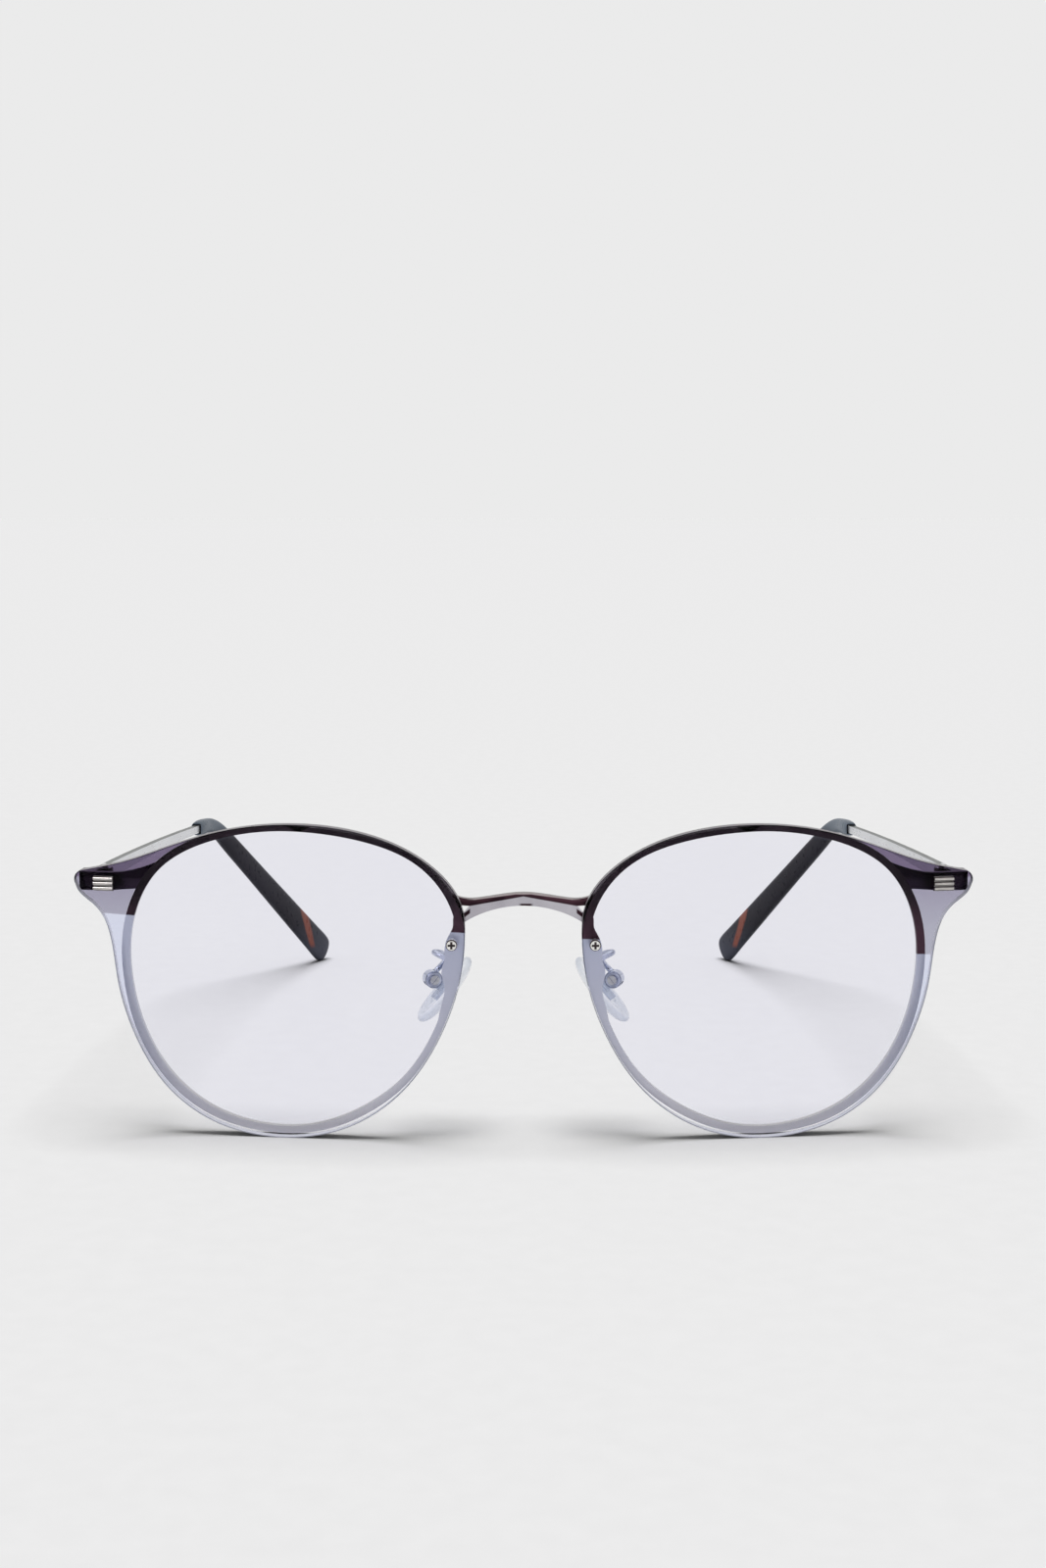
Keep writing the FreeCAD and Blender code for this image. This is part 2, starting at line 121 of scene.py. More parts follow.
# Nose pads, stated for the wearer's left one
PAD_LENGTH = 13 * MM
PAD_WIDTH = 7 * MM
PAD_AXIS = Vector((0.62, -0.22, -0.753)).normalized()
PAD_FACING = Vector((-0.96, 0.28, 0.0))
PAD_OUT = (PAD_FACING - PAD_AXIS * PAD_FACING.dot(PAD_AXIS)).normalized()
PAD_ACROSS = PAD_OUT.cross(PAD_AXIS)
PAD_LOW, PAD_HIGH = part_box("left_nose_pad")
PAD_CENTRE = (PAD_LOW + PAD_HIGH) / 2
# Rings from the middle of the face round the edge to the back: size, height in mm
PAD_RINGS = [
    (0.0, 1.02), (0.30, 1.0), (0.58, 0.90), (0.80, 0.66), (0.94, 0.28), (1.0, -0.18),
    (0.985, -0.60), (0.92, -0.92), (0.82, -1.06), (0.72, -0.98), (0.62, -0.80),
    (0.40, -0.76), (0.26, -0.92), (0.17, -1.04), (0.0, -1.04)]
PAD_STEPS = 36


def linear(r, g, b):
    """Display colour in 0-255 as the linear colour a shader wants."""
    def one(c):
        c /= 255
        return c / 12.92 if c <= 0.04045 else ((c + 0.055) / 1.055) ** 2.4
    return (one(r), one(g), one(b), 1.0)


class Graph:
    """Small helper that adds and links shader nodes of one material."""

    def __init__(self, name):
        self.mat = bpy.data.materials.new(name)
        self.mat.use_nodes = True
        self.tree = self.mat.node_tree
        self.tree.nodes.clear()
        self.out = self.add("ShaderNodeOutputMaterial")
        self.coord = self.add("ShaderNodeTexCoord").outputs["Object"]

    def add(self, kind, **settings):
        node = self.tree.nodes.new(kind)
        for key, value in settings.items():
            if key in node.inputs:
                node.inputs[key].default_value = value
            else:
                setattr(node, key, value)
        return node

    def link(self, source, target):
        self.tree.links.new(source, target)
        return target

    def feed(self, target, value):
        if isinstance(value, bpy.types.NodeSocket):
            self.link(value, target)
        else:
            target.default_value = value

    def math(self, operation, a, b=0.0):
        node = self.add("ShaderNodeMath", operation=operation)
        self.feed(node.inputs[0], a)
        self.feed(node.inputs[1], b)
        return node.outputs[0]

    def axes(self):
        node = self.add("ShaderNodeSeparateXYZ")
        self.link(self.coord, node.inputs[0])
        return node.outputs

    def step(self, value, low, high):
        """0 below low, 1 above high, straight between."""
        node = self.add("ShaderNodeMapRange")
        self.feed(node.inputs["Value"], value)
        node.inputs["From Min"].default_value = low
        node.inputs["From Max"].default_value = high
        return node.outputs["Result"]

    def mix(self, factor, a, b):
        node = self.add("ShaderNodeMix", data_type="RGBA")
        self.feed(node.inputs["Factor"], factor)
        self.feed(node.inputs["A"], a)
        self.feed(node.inputs["B"], b)
        return node.outputs["Result"]

    def noise(self, scale, detail=2.0, stretch=None):
        node = self.add("ShaderNodeTexNoise")
        node.inputs["Scale"].default_value = scale
        node.inputs["Detail"].default_value = detail
        source = self.coord
        if stretch:
            mapping = self.add("ShaderNodeMapping")
            mapping.inputs["Scale"].default_value = stretch
            self.link(source, mapping.inputs["Vector"])
            source = mapping.outputs[0]
        self.link(source, node.inputs["Vector"])
        return node.outputs["Fac"]

    def ramp(self, value, stops):
        node = self.add("ShaderNodeValToRGB")
        ramp = node.color_ramp
        while len(ramp.elements) < len(stops):
            ramp.elements.new(0.5)
        for element, (place, colour) in zip(ramp.elements, stops):
            element.position = place
            element.color = colour
        self.link(value, node.inputs[0])
        return node.outputs["Color"]

    def bump(self, height, strength, distance):
        node = self.add("ShaderNodeBump")
        node.inputs["Strength"].default_value = strength
        node.inputs["Distance"].default_value = distance
        self.link(height, node.inputs["Height"])
        return node.outputs["Normal"]

    def surface(self, base, normal=None, rough=0.3, **values):
        node = self.add("ShaderNodeBsdfPrincipled")
        self.feed(node.inputs["Base Color"], base)
        self.feed(node.inputs["Roughness"], rough)
        for key, value in values.items():
            node.inputs[key.replace("_", " ")].default_value = value
        if normal is not None:
            self.link(normal, node.inputs["Normal"])
        self.link(node.outputs[0], self.out.inputs["Surface"])
        return node

    def rough_range(self, value, low, high):
        node = self.add("ShaderNodeMapRange")
        self.link(value, node.inputs["Value"])
        node.inputs["From Min"].default_value = 0.3
        node.inputs["From Max"].default_value = 0.7
        node.inputs["To Min"].default_value = low
        node.inputs["To Max"].default_value = high
        return node.outputs["Result"]


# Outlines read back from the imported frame, as radius against direction

def outline(node, steps=90):
    """Radii of the node's outer outline about the lens centre, in the x-z plane."""
    points = []
    for vertex in nodes[node].data.vertices:
        dx = abs(vertex.co.x) - LENS_CENTRE[0]
        dz = vertex.co.z - LENS_CENTRE[1]
        points.append((math.atan2(dz, dx), math.hypot(dx, dz)))
    width = 2 * math.pi / steps
    found = []
    for i in range(steps + 1):
        middle = -math.pi + i * width
        near = []
        for angle, radius in points:
            off = (angle - middle + math.pi) % (2 * math.pi) - math.pi
            if abs(off) < width / 2:
                near.append((radius, off))
        if near:
            radius, off = max(near)
            place = (i * width + off) / (2 * math.pi)
            found.append((min(max(place, 0.0), 1.0), radius))
    return found


def beyond(g, stops):
    """Distance outside an outline, in metres, as a shader value."""
    x, _, z = g.axes()
    dx = g.math("SUBTRACT", g.math("ABSOLUTE", x), LENS_CENTRE[0])
    dz = g.math("SUBTRACT", z, LENS_CENTRE[1])
    angle = g.math("ARCTAN2", dz, dx)
    turn = g.math("DIVIDE", g.math("ADD", angle, math.pi), 2 * math.pi)
    square = g.math("ADD", g.math("MULTIPLY", dx, dx), g.math("MULTIPLY", dz, dz))
    radius = g.math("SQRT", square)
    node = g.add("ShaderNodeFloatCurve")
    curve = node.mapping.curves[0]
    for place, reach in stops:
        curve.points.new(place, reach / REACH)
    curve.points.remove(curve.points[0])
    curve.points.remove(curve.points[-1])
    node.mapping.update()
    g.link(turn, node.inputs["Value"])
    return g.math("SUBTRACT", radius, g.math("MULTIPLY", node.outputs[0], REACH))


# Materials

def split_line(g, x, z):
    """1 above the line where the painted reflection changes from dark to pale."""
    line = g.math("ADD", z, g.math("MULTIPLY", x, SPLIT_FALL))
    nose = g.step(g.math("ABSOLUTE", x), 35 * MM, 20 * MM)
    line = g.math("SUBTRACT", line, g.math("MULTIPLY", nose, SPLIT_NOSE_LIFT))
    return g.step(line, SPLIT_HEIGHT - 0.08 * MM, SPLIT_HEIGHT + 0.08 * MM)


def plating_with_painted_reflection():
    """Polished plating with a painted reflection: plum black above the split, blackest highest,
    and pale blue grey below, warmer and paler towards the bottom.
    """
    g = Graph("plating_with_painted_reflection")
    x, _, z = g.axes()
    cloud = g.noise(90.0, 3.0)
    black = g.ramp(cloud, [(0.35, linear(28, 22, 27)), (0.65, linear(46, 37, 43))])
    plum = g.ramp(cloud, [(0.35, linear(52, 34, 42)), (0.65, linear(78, 54, 64))])
    # Painted reflection above the split: plum low down, turning blacker higher up
    dark = g.mix(g.step(z, 32 * MM, 38 * MM), plum, black)
    # Painted reflection below the split: warm pale at the bottom, blue grey higher up
    fade = g.step(z, 0.0, 31 * MM)
    pale = g.mix(fade, linear(208, 206, 203), linear(184, 188, 200))
    base = g.mix(split_line(g, x, z), pale, dark)
    grain = g.noise(3500.0, 2.0)
    g.surface(base, g.bump(grain, 0.02, 0.00002), g.rough_range(cloud, 0.27, 0.33), Metallic=1.0)
    return g.mat


def dark_plating():
    """Dark polished plating of the endpieces and front hinge leaves."""
    g = Graph("dark_plating")
    cloud = g.noise(160.0, 3.0)
    base = g.ramp(cloud, [(0.35, linear(46, 37, 43)), (0.68, linear(88, 71, 83))])
    grain = g.noise(7000.0, 2.0)
    g.surface(base, g.bump(grain, 0.08, 0.00002), g.rough_range(cloud, 0.18, 0.30), Metallic=0.95)
    return g.mat


def bridge_plating_with_painted_light():
    """Painted reflection: dark upper band that thins to the middle over a light grey facet, with
    a grey-brown top line; painted shade under the fork.
    """
    g = Graph("bridge_plating_with_painted_light")
    x, _, z = g.axes()
    side = g.math("ABSOLUTE", x)
    # Painted reflection: dark band above this line, which sits lower towards the sides
    edge = g.math("SUBTRACT", BAND_HEIGHT, g.math("MULTIPLY", side, BAND_FALL))
    upper = g.step(g.math("SUBTRACT", z, edge), -0.06 * MM, 0.06 * MM)
    # Painted reflection: grey-brown line along the top
    crest = g.math("MULTIPLY", g.step(side, *CREST_RUN), CREST_DROP)
    crest = g.math("SUBTRACT", z, g.math("SUBTRACT", CREST_HEIGHT, crest))
    crest = g.step(crest, -0.04 * MM, 0.04 * MM)
    crest = g.math("MULTIPLY", crest, g.step(side, *CREST_FADE))
    # Painted shade along the underside of the gap at the fork, plus a small dark mark near the
    # middle
    run = g.math("SUBTRACT", side, FORK_FROM)
    line = g.math("SUBTRACT", FORK_HEIGHT, g.math("MULTIPLY", run, FORK_FALL))
    off = g.math("ABSOLUTE", g.math("SUBTRACT", z, line))
    fork = g.math("MULTIPLY", g.step(off, 0.42 * MM, 0.30 * MM), g.step(run, 0.0, 0.2 * MM))
    mark = g.step(g.math("ABSOLUTE", g.math("SUBTRACT", x, MARK_CENTRE)), *MARK_SIDES)
    mark = g.math("MULTIPLY", mark, g.step(z, *MARK_TOP))
    fork = g.math("MAXIMUM", fork, mark)
    cloud = g.noise(220.0, 3.0)
    dark = g.ramp(cloud, [(0.35, linear(38, 24, 30)), (0.65, linear(64, 42, 50))])
    light = g.ramp(cloud, [(0.3, linear(176, 172, 180)), (0.7, linear(194, 191, 198))])
    grain = g.noise(8000.0, 2.0)
    base = g.mix(g.math("MAXIMUM", upper, fork), light, dark)
    base = g.mix(crest, base, linear(146, 137, 138))
    g.surface(base, g.bump(grain, 0.06, 0.00002), g.rough_range(cloud, 0.16, 0.26), Metallic=1.0)
    return g.mat


def metal(name, low, high, scale, rough, stretch=None, bump=0.1):
    """Plain plated metal with fine marks: colours for the marks and roughness range."""
    g = Graph(name)
    marks = g.noise(scale, 3.0, stretch=stretch)
    base = g.ramp(marks, [(0.3, linear(*low)), (0.7, linear(*high))])
    g.surface(base, g.bump(marks, bump, 0.00003), g.rough_range(marks, *rough), Metallic=1.0)
    return g.mat


def satin_steel():
    """Temple strip: fine lengthwise brushing on satin steel."""
    g = Graph("satin_steel")
    brushed = g.noise(5200.0, 3.0, stretch=(1.0, 0.02, 1.0))
    broad = g.noise(60.0, 2.0)
    fine = g.ramp(brushed, [(0.3, linear(204, 205, 208)), (0.7, linear(222, 223, 226))])
    base = g.mix(g.step(broad, 0.35, 0.75), fine, linear(228, 229, 232))
    g.surface(base, g.bump(brushed, 0.12, 0.00002), g.rough_range(brushed, 0.26, 0.4),
              Metallic=1.0, Anisotropic=0.4)
    return g.mat


def dark_tortoise():
    """Near-black acetate, slate at its end, blue grey over the top of the bend as a painted
    reflection, with one drawn-out red-brown streak.
    """
    g = Graph("dark_tortoise")
    x, _, z = g.axes()
    body = g.noise(110.0, 3.0, stretch=(1.0, 0.5, 0.4))
    deep = g.ramp(body, [(0.3, linear(21, 19, 26)), (0.7, linear(31, 29, 38))])
    slate = g.ramp(body, [(0.3, linear(50, 52, 62)), (0.7, linear(60, 62, 73))])
    steel = g.ramp(body, [(0.3, linear(82, 91, 102)), (0.7, linear(98, 107, 118))])
    base = g.mix(g.step(z, 10 * MM, 3 * MM), deep, slate)
    # Painted reflection: blue grey over the top of the bend
    base = g.mix(g.step(z, 32 * MM, 35.5 * MM), base, steel)
    wander = g.math("MULTIPLY", g.math("SUBTRACT", g.noise(160.0, 2.0), 0.5), 0.5 * MM)
    rise = g.math("MULTIPLY", g.math("SUBTRACT", z, STREAK_Z), STREAK_RUN)
    line = g.math("ADD", STREAK_X, g.math("ADD", rise, wander))
    off = g.math("ABSOLUTE", g.math("SUBTRACT", g.math("ABSOLUTE", x), line))
    mask = g.math("MULTIPLY", g.step(off, 0.6 * MM, 0.3 * MM),
                  g.step(z, STREAK_Z - 0.3 * MM, STREAK_Z + 0.8 * MM))
    mask = g.math("MULTIPLY", mask, g.step(z, STREAK_TOP + MM, STREAK_TOP - MM))
    base = g.mix(mask, base, linear(124, 68, 54))
    scratches = g.noise(2600.0, 2.0, stretch=(1.0, 0.3, 0.3))
    g.surface(base, g.bump(scratches, 0.01, 0.00002), g.rough_range(scratches, 0.26, 0.34),
              Specular_IOR_Level=0.10)
    return g.mat


def turned_away(g):
    """0 where the surface is met square on, 1 where it is met edge on."""
    node = g.add("ShaderNodeLayerWeight")
    node.inputs["Blend"].default_value = 0.5
    return node.outputs["Facing"]


def see_through(g, tint, mirror, body=None, body_share=None):
    """Thin clear surface: tinted transparency, gloss that rises edge on, a little body."""
    shown = g.add("ShaderNodeBsdfTransparent")
    g.feed(shown.inputs["Color"], tint)
    shown = shown.outputs[0]
    layers = []
    if body is not None:
        lit = g.add("ShaderNodeBsdfDiffuse")
        glow = g.add("ShaderNodeBsdfTranslucent")
        milk = g.add("ShaderNodeMixShader")
        for slot, shader in ((1, lit), (2, glow)):
            g.feed(shader.inputs["Color"], body)
            g.link(shader.outputs[0], milk.inputs[slot])
        layers.append((body_share, milk.outputs[0]))
    gloss = g.add("ShaderNodeBsdfGlossy")
    gloss.inputs["Roughness"].default_value = 0.03
    rise = g.math("MULTIPLY", g.math("POWER", turned_away(g), 4.0), 0.5)
    layers.append((g.math("ADD", rise, mirror), gloss.outputs[0]))
    for share, shader in layers:
        blend = g.add("ShaderNodeMixShader")
        g.feed(blend.inputs[0], share)
        g.link(shown, blend.inputs[1])
        g.link(shader, blend.inputs[2])
        shown = blend.outputs[0]
    g.link(shown, g.out.inputs["Surface"])


def pad_rim(g):
    """0 at the middle of a nose pad, 1 at its rim, by the pad's own shape."""
    x, y, z = g.axes()
    away = [g.math("SUBTRACT", g.math("ABSOLUTE", x), PAD_CENTRE.x),
            g.math("SUBTRACT", y, PAD_CENTRE.y), g.math("SUBTRACT", z, PAD_CENTRE.z)]
    total = 0.0
    for axis, size in ((PAD_AXIS, PAD_LENGTH), (PAD_ACROSS, PAD_WIDTH)):
        reach = 0.0
        for part, share in zip(away, axis):
            reach = g.math("ADD", g.math("MULTIPLY", part, share * 2 / size), reach)
        total = g.math("ADD", g.math("MULTIPLY", reach, reach), total)
    return g.math("SQRT", total)


def clear_silicone():
    """Soft clear pad: see-through in the middle, whiter towards its rim as a painted highlight.
    """
    g = Graph("clear_silicone")
    cloud = g.noise(500.0, 3.0)
    rim = pad_rim(g)
    # Painted highlight: the white body rises towards the pad's rim; the cloud adds random
    # milkiness
    share = g.math("ADD", g.math("MULTIPLY", g.step(rim, 0.55, 0.98), 0.42), 0.08)
    share = g.math("ADD", share, g.math("MULTIPLY", g.step(cloud, 0.45, 0.75), 0.10))
    body = g.mix(g.step(rim, 0.90, 0.99), (0.98, 0.99, 1.0, 1), linear(212, 218, 228))
    see_through(g, (0.975, 0.982, 1.0, 1), 0.02, body, share)
    return g.mat


def clear_moulding():
    g = Graph("clear_moulding")
    cloud = g.noise(900.0, 3.0)
    body = g.ramp(cloud, [(0.3, linear(176, 184, 202)), (0.7, linear(216, 222, 234))])
    see_through(g, (0.90, 0.925, 0.965, 1), 0.03, body, 0.40)
    return g.mat


def lens_front():
    """Coated front face of the lens, clear apart from a dark line at its edge, a painted shade.
    """
    g = Graph("lens_front")
    cloud = g.noise(45.0, 2.0)
    clear = g.ramp(cloud, [(0.3, (0.964, 0.964, 0.996, 1)), (0.7, (0.970, 0.970, 1.0, 1))])
    inside = g.math("MULTIPLY", beyond(g, LENS_OUTLINE), -1.0)
    # Painted shade: a thin dark line just inside the lens outline
    line = g.step(inside, 0.22 * MM, 0.14 * MM)
    see_through(g, g.mix(line, clear, (0.47, 0.48, 0.52, 1)), 0.006)
    return g.mat


def lens_back():
    """Back face: clear inside the rim; where the lens stands out beyond it, a painted reflection
    darkens it above the split, while below the split it stays clear, pale blue in the wing.
    """
    g = Graph("lens_back")
    x, _, z = g.axes()
    side = g.math("ABSOLUTE", x)
    cloud = g.noise(45.0, 2.0)
    clear = g.ramp(cloud, [(0.3, (0.964, 0.964, 0.996, 1)), (0.7, (0.970, 0.970, 1.0, 1))])
    outside = g.step(beyond(g, RIM_OUTLINE), -0.04 * MM, 0.04 * MM)
    upper = split_line(g, x, z)
    wing = g.step(side, WING_FROM, WING_TO)
    # Painted reflection in the wing above the split: darker higher up, purple highest above the
    # endpiece
    wing_painted_reflection = g.mix(g.step(z, 32 * MM, 38.6 * MM), (0.52, 0.52, 0.60, 1), (0.42, 0.40, 0.50, 1))
    wing_painted_reflection = g.mix(g.step(z, 40.6 * MM, 40.9 * MM), wing_painted_reflection, (0.215, 0.170, 0.265, 1))
    # Painted reflection: near black where the lens stands just beyond the rim above the split
    dusk = g.mix(wing, (0.13, 0.11, 0.13, 1), wing_painted_reflection)
    pale = g.mix(wing, (1.0, 1.0, 1.0, 1), (0.80, 0.83, 0.95, 1))
    tone = g.mix(upper, pale, dusk)
    see_through(g, g.mix(outside, clear, tone), 0.002)
    return g.mat


def lens_edge():
    """Ground and polished edge of the lens: near white as a painted highlight, dusky above the
    split as a painted reflection.
    """
    g = Graph("lens_edge")
    x, _, z = g.axes()
    grind = g.noise(420.0, 3.0, stretch=(1.0, 0.1, 1.0))
    pale = g.ramp(grind, [(0.3, linear(240, 242, 250)), (0.7, linear(249, 250, 254))])
    dusk = g.ramp(grind, [(0.3, linear(112, 107, 111)), (0.7, linear(136, 131, 134))])
    wing = g.math("MULTIPLY", g.step(g.math("ABSOLUTE", x), WING_FROM, WING_TO),
                  g.step(z, 40.8 * MM, 40.2 * MM))
    # Painted reflection: dusky above the split, except low in the wing
    upper = g.math("MULTIPLY", split_line(g, x, z), g.math("SUBTRACT", 1.0, wing))
    g.surface(g.mix(upper, pale, dusk), g.bump(grind, 0.02, 0.00002),
              g.rough_range(grind, 0.25, 0.4), Specular_IOR_Level=0.2)
    return g.mat


def floor_surface():
    g = Graph("studio_paper")
    grain = g.noise(260.0, 3.0)
    base = g.ramp(grain, [(0.3, (0.178, 0.178, 0.178, 1)), (0.7, (0.182, 0.182, 0.182, 1))])
    g.surface(base, g.bump(grain, 0.02, 0.0001), 1.0, Specular_IOR_Level=0.0)
    return g.mat


def dress(name, material):
    """Give both sides' node of this kind the material."""
    for side in ("left_", "right_"):
        slots = nodes[side + name].data.materials
        slots.clear()
        slots.append(material)


LENS_OUTLINE = outline("left_lens")
RIM_OUTLINE = outline("left_rim")

chrome = metal("bright_chrome", (214, 211, 207), (246, 245, 242), 2600.0, (0.10, 0.2),
               stretch=(0.08, 1.0, 1.0))
clip_metal = metal("clip_metal", (158, 154, 153), (204, 200, 197), 2600.0, (0.12, 0.24),
                   stretch=(0.08, 1.0, 1.0))
# Dark chrome: painted shade in the screws' cross recesses and head sides and on the clip ribs'
# flanks
recess = metal("chrome_painted_shade", (48, 42, 44), (80, 72, 72), 1800.0, (0.3, 0.45))
# Greyer steel: painted reflection on the temple strip's up-facing faces
strip_top_painted_reflection = metal("strip_top_painted_reflection", (98, 101, 99), (124, 127, 125), 3000.0, (0.3, 0.45),
                   stretch=(1.0, 0.05, 1.0))
# Darker wire: painted shade on the pad box's turned edge and the pad screw's side
wire_painted_shade = metal("wire_painted_shade", (112, 118, 138), (146, 152, 172), 900.0, (0.2, 0.3))
# Grey-brown metal: painted reflection on the bridge's up-facing faces
bar_top_painted_reflection = metal("bridge_top_painted_reflection", (126, 118, 118), (150, 141, 140), 900.0, (0.25, 0.4))
MATERIALS = {
    "rim": plating_with_painted_reflection(),
    "lug": dark_plating(),
    "clip": clip_metal,
    "lens_screw": chrome,
    "pad_arm": metal("silver_wire", (166, 172, 190), (208, 212, 226), 900.0, (0.12, 0.24)),
    "temple": satin_steel(),
    "temple_tip": dark_tortoise(),
    "nose_pad": clear_silicone(),
    "pad_stem": clear_moulding(),
    "lens": lens_front(),
}
SHARED = {
    "hinge_front": "lug", "lens_nut": "lens_screw", "pad_screw": "lens_screw",
    "hinge_screw": "lens_screw", "pad_box": "pad_arm", "hinge_rear": "temple",
    "lens_sleeve": "pad_stem",
}
for name, material in MATERIALS.items():
    dress(name, material)
for name, other in SHARED.items():
    dress(name, MATERIALS[other])
nodes["bridge"].data.materials.clear()
nodes["bridge"].data.materials.append(bridge_plating_with_painted_light())


def repaint(node, chosen, *materials):
    """Give polygons their own material: chosen returns 0 for the first slot and so on."""
    mesh = nodes[node].data
    for material in materials:
        mesh.materials.append(material)
    for polygon in mesh.polygons:
        polygon.material_index = chosen(polygon)


def lens_slot(polygon):
    """Front face 0, back face 1, edge 2, walls of the clip's holes 3, which take the dark
    endpiece colour as painted shade.
    """
    spoke = polygon.center - FRONT_CENTRE
    if abs(polygon.normal.dot(spoke.normalized())) < 0.8:
        x, z = abs(polygon.center.x), polygon.center.z
        drilled = HOLES_X[0] < x < HOLES_X[1] and HOLES_Z[0] < z < HOLES_Z[1]
        return 3 if drilled else 2
    return 0 if spoke.length > FRONT_RADIUS + LENS_MIDDLE else 1


def screw_slot(polygon):
    """Bright face 0; the cross recess and the head's side are in shade, 1."""
    spoke = polygon.center - FRONT_CENTRE
    face = spoke.length > FRONT_RADIUS + SCREW_FACE and polygon.normal.y < -0.93
    return 0 if face else 1


def screw_face(polygon):
    """Flat head of the pad screw 0, its side 1, painted darker as shade."""
    return 0 if polygon.normal.y < -0.9 else 1


def upward(polygon):
    """1 on faces that look up, which get a painted reflection tone."""
    return 1 if polygon.normal.z > 0.8 else 0


def groove(polygon):
    """The ribs' steep flanks get painted shade, 1, and the pins behind the lens face get the dark
    endpiece colour as painted shade, 2.
    """
    if (polygon.center - FRONT_CENTRE).length < FRONT_RADIUS + PINS_BELOW:
        return 2
    return 1 if abs(polygon.normal.z) > 0.55 or abs(polygon.normal.x) > 0.8 else 0


def rolled(polygon):
    """The pad box's turned edge gets a painted shade, darker than its flat cheeks."""
    return 1 if 0.3 < abs(polygon.normal.y) < 0.93 else 0


lens_parts = (lens_back(), lens_edge(), MATERIALS["lug"])
for side in ("left_", "right_"):
    repaint(side + "lens", lens_slot, *lens_parts)
    repaint(side + "lens_screw", screw_slot, recess)
    repaint(side + "temple", upward, strip_top_painted_reflection)
    repaint(side + "clip", groove, recess, MATERIALS["lug"])
    repaint(side + "pad_box", rolled, wire_painted_shade)
    repaint(side + "pad_screw", screw_face, wire_painted_shade)
repaint("bridge", upward, bar_top_painted_reflection)


# Nose pads

def make_pad(side):
    """Moulded pad: crowned face, rolled edge, rimmed back with a boss at the stem."""
    low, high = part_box(side + "_nose_pad")
    hand = 1 if side == "left" else -1
    mesh = bmesh.new()
    rows = []
    for size, height in PAD_RINGS:
        row = []
        for i in range(PAD_STEPS if size else 1):
            angle = 2 * math.pi * i / PAD_STEPS
            a = math.cos(angle)
            b = math.copysign(abs(math.sin(angle)) ** 0.85, math.sin(angle)) * (1 + 0.08 * a)
            lift = height * MM - 0.10 * MM * (a * size) ** 2
            point = PAD_AXIS * (a * size * PAD_LENGTH / 2)
            point = point + PAD_ACROSS * (b * size * PAD_WIDTH / 2) + PAD_OUT * lift
            row.append(mesh.verts.new((point.x * hand, point.y, point.z)))
        rows.append(row)
    for first, second in zip(rows, rows[1:]):
        for i in range(PAD_STEPS):
            j = (i + 1) % PAD_STEPS
            corners = [first[i % len(first)], first[j % len(first)],
                       second[j % len(second)], second[i % len(second)]]
            mesh.faces.new(list(dict.fromkeys(corners)))
    bmesh.ops.recalc_face_normals(mesh, faces=mesh.faces)
    data = bpy.data.meshes.new(side + "_pad_silicone")
    mesh.to_mesh(data)
    mesh.free()
    centre = (low + high) / 2
    xs = [v.co.x for v in data.vertices]
    ys = [v.co.y for v in data.vertices]
    zs = [v.co.z for v in data.vertices]
    shift = centre - Vector([(max(c) + min(c)) / 2 for c in (xs, ys, zs)])
    for vertex in data.vertices:
        vertex.co += shift
    for polygon in data.polygons:
        polygon.use_smooth = True
    pad = bpy.data.objects.new(side + "_pad_silicone", data)
    bpy.context.scene.collection.objects.link(pad)
    pad.modifiers.new("round", "SUBSURF").render_levels = 1
    pad.modifiers["round"].levels = 1
    data.materials.append(MATERIALS["nose_pad"])
    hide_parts(side + "_nose_pad")
    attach(pad, side + "_pad")


for side in ("left", "right"):
    make_pad(side)


# Stage, light and camera

def make_floor():
    """Level sheet of paper that runs out of sight."""
    mesh = bmesh.new()
    bmesh.ops.create_grid(mesh, x_segments=FLOOR_CELLS, y_segments=FLOOR_CELLS, size=FLOOR_REACH)
    data = bpy.data.meshes.new("studio_floor")
    mesh.to_mesh(data)
    mesh.free()
    floor = bpy.data.objects.new("studio_floor", data)
    bpy.context.scene.collection.objects.link(floor)
    data.materials.append(floor_surface())
    floor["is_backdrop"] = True
    return floor


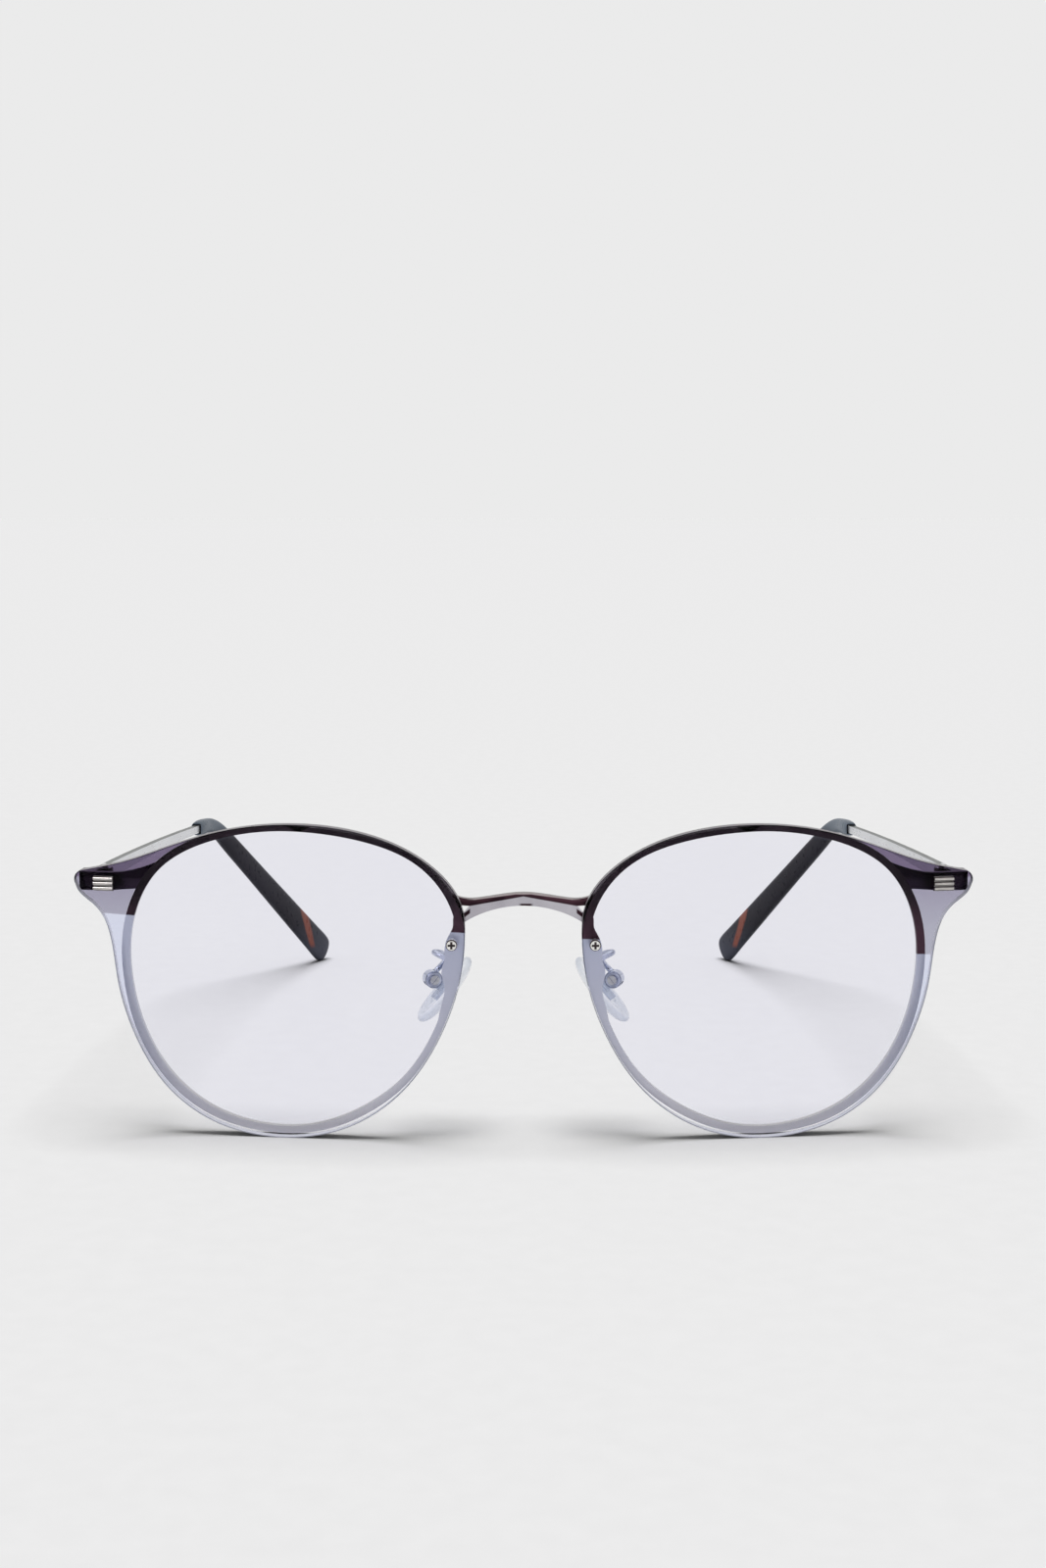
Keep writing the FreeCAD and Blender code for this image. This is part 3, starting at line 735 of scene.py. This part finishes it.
def make_light(name, kind, direction, power, angle=0.0):
    data = bpy.data.lights.new(name, kind)
    data.energy = power
    if kind == "SUN":
        data.angle = math.radians(angle)
    light = bpy.data.objects.new(name, data)
    light.rotation_euler = Vector(direction).to_track_quat("-Z", "Y").to_euler()
    bpy.context.scene.collection.objects.link(light)
    return light


def only_on(light, name, objects):
    """Let the light fall on these objects only; everything still casts its shadow."""
    group = bpy.data.collections.new(name)
    for thing in objects:
        group.objects.link(thing)
    light.light_linking.receiver_collection = group


def make_world():
    """Even pale room, with a brighter ceiling above a dimmer belt."""
    world = bpy.data.worlds.new("soft_room")
    world.use_nodes = True
    tree = world.node_tree
    background = tree.nodes["Background"]
    coord = tree.nodes.new("ShaderNodeTexCoord")
    axes = tree.nodes.new("ShaderNodeSeparateXYZ")
    tree.links.new(coord.outputs["Generated"], axes.inputs[0])
    ramp = tree.nodes.new("ShaderNodeValToRGB")
    tree.links.new(axes.outputs[2], ramp.inputs[0])
    while len(ramp.color_ramp.elements) < len(ROOM_STOPS):
        ramp.color_ramp.elements.new(0.5)
    for element, (place, grey) in zip(ramp.color_ramp.elements, ROOM_STOPS):
        element.position = place
        element.color = (grey, grey, grey, 1)
    tree.links.new(ramp.outputs[0], background.inputs["Color"])
    bpy.context.scene.world = world


def make_camera():
    data = bpy.data.cameras.new("camera")
    data.lens = 50
    data.sensor_width = 36
    data.clip_start = 0.01
    camera = bpy.data.objects.new("camera", data)
    camera.location = (CAMERA_SIDE, FRONT_APEX - CAMERA_DISTANCE, CAMERA_HEIGHT)
    camera.rotation_euler = (math.pi / 2 - CAMERA_PITCH, 0, CAMERA_YAW)
    bpy.context.scene.collection.objects.link(camera)
    bpy.context.scene.camera = camera


floor = make_floor()
shining = [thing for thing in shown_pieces() if not thing.name.endswith("_lens")]
make_world()
make_camera()
overhead = make_light("overhead_softbox", "SUN", (0, 0, -1), FLOOR_LIGHT, FLOOR_LIGHT_SPREAD)
only_on(overhead, "lit_floor", [floor])
key = make_light("key_softbox", "AREA", KEY_TOWARDS, KEY_LIGHT)
key.location = KEY_PLACE
key.data.size = KEY_SIZE
only_on(key, "lit_object", shining)
bpy.context.scene.view_settings.view_transform = "Standard"
